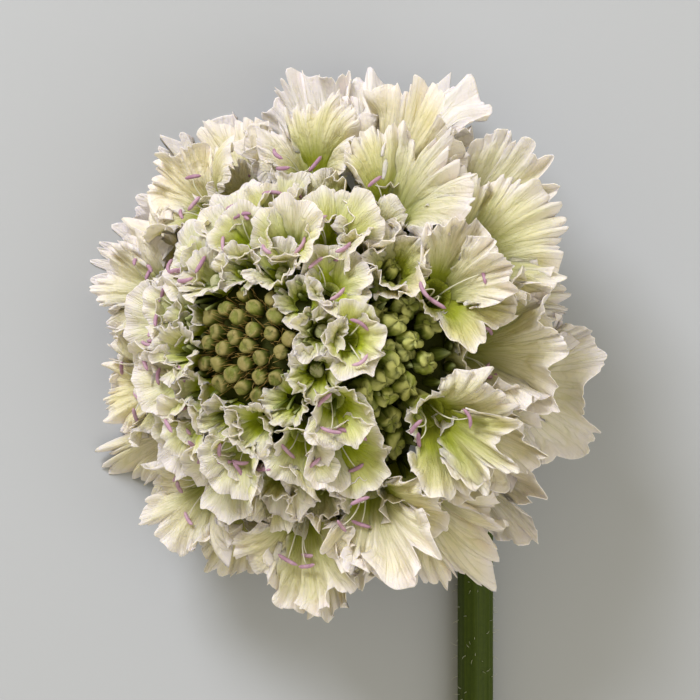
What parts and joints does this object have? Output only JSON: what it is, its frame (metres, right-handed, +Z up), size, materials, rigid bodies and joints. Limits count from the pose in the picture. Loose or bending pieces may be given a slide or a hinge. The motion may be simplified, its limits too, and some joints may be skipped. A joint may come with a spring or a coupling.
{
  "type": "scabiosa flower",
  "caption": "Cut pincushion flower with a domed ruffled cream-white head of florets round green buds, lying on its bent slender stem.",
  "frame": {"origin": "centre of the bounding box on the surface that the flower lies on", "axes": "+Z up out of the surface and out of the flower's face, +Y from the stem's cut end towards the head, +X to the side that the stem lies on"},
  "size_m": [0.0542, 0.1312, 0.0322],
  "materials": {
    "stem": "satin",
    "bract": "matte",
    "petal": "matte",
    "late_bud": "satin",
    "throat": "matte",
    "bud": "satin"
  },
  "bodies": {
    "root": {"stem": "stem", "involucre": "bract", "outer_florets": "petal", "late_buds": "late_bud", "inner_florets": "throat", "central_buds": "bud"}
  },
  "joints": []
}
